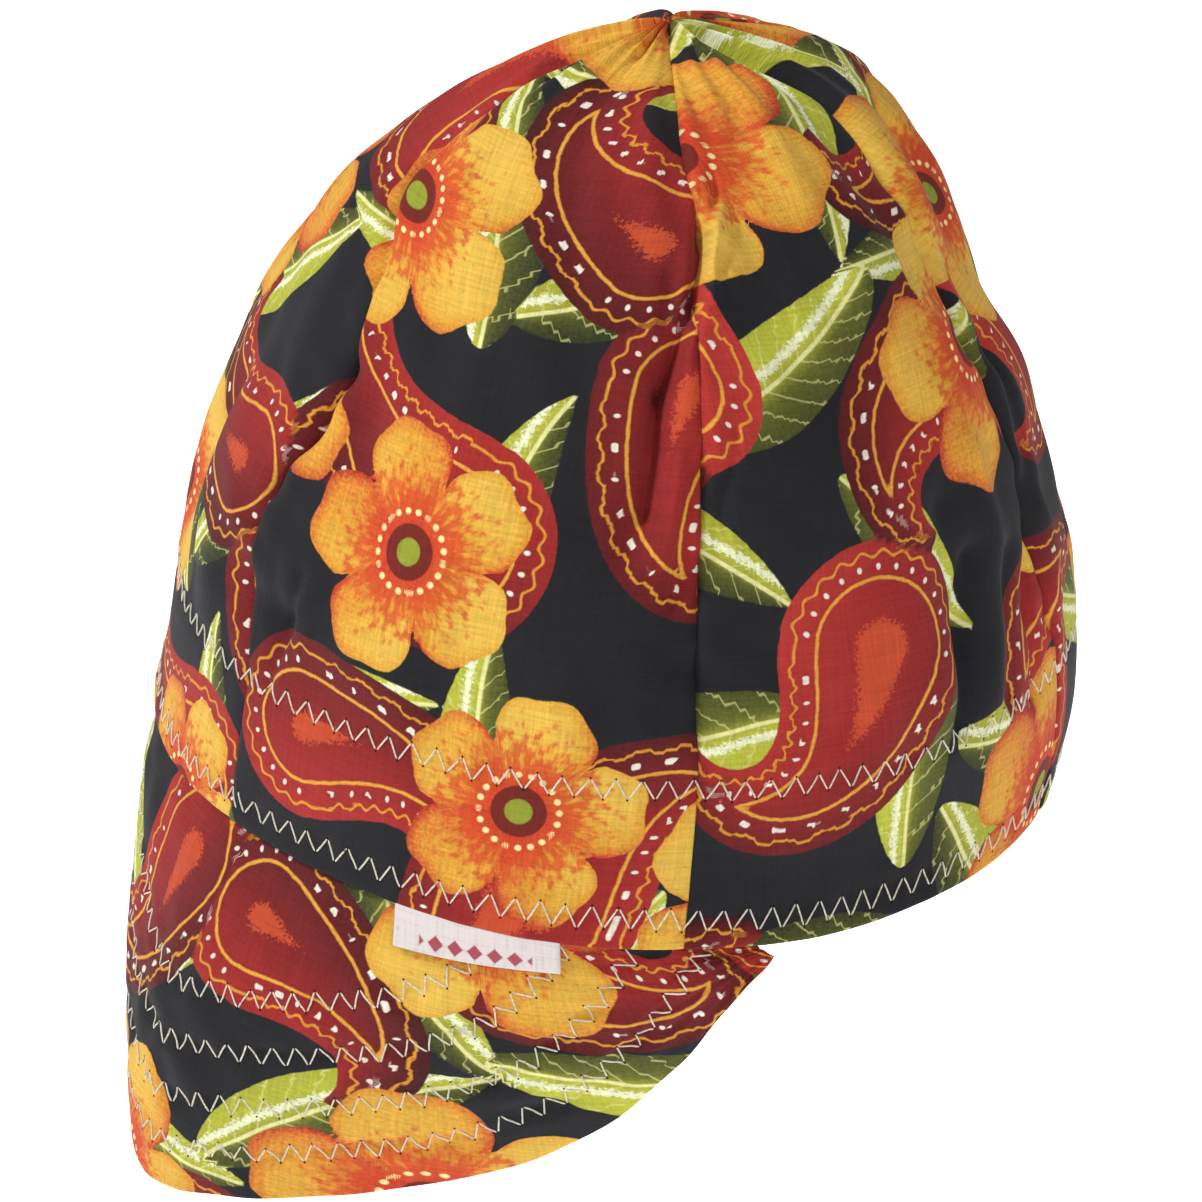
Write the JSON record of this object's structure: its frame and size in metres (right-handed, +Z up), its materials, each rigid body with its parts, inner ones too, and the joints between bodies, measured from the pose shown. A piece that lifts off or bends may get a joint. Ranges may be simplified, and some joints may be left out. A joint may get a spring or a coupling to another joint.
{
  "type": "welding cap",
  "caption": "Soft deep round work cap of gores sewn to a point, with an inner headband, a hanging stitched cloth bill and a small woven label at the hem.",
  "frame": {"origin": "centre of the head opening, in the plane of the crown's rim", "axes": "+Z up through the crown, front of the cap towards -Y, +X towards the wearer's left"},
  "size_m": [0.185, 0.2067, 0.2238],
  "materials": {
    "printed_cotton": "plain-woven cotton, printed in many colours on near-black",
    "plain_cotton": "plain-woven near-black cotton",
    "woven_tape": "pale woven satin tape with a row of small red diamonds"
  },
  "bodies": {
    "root": {"panel_front_left": "printed_cotton", "panel_side_left": "printed_cotton", "panel_back_left": "printed_cotton", "panel_back_right": "printed_cotton", "panel_side_right": "printed_cotton", "panel_front_right": "printed_cotton", "bill": "printed_cotton", "headband": "plain_cotton", "label": "woven_tape"}
  },
  "joints": []
}
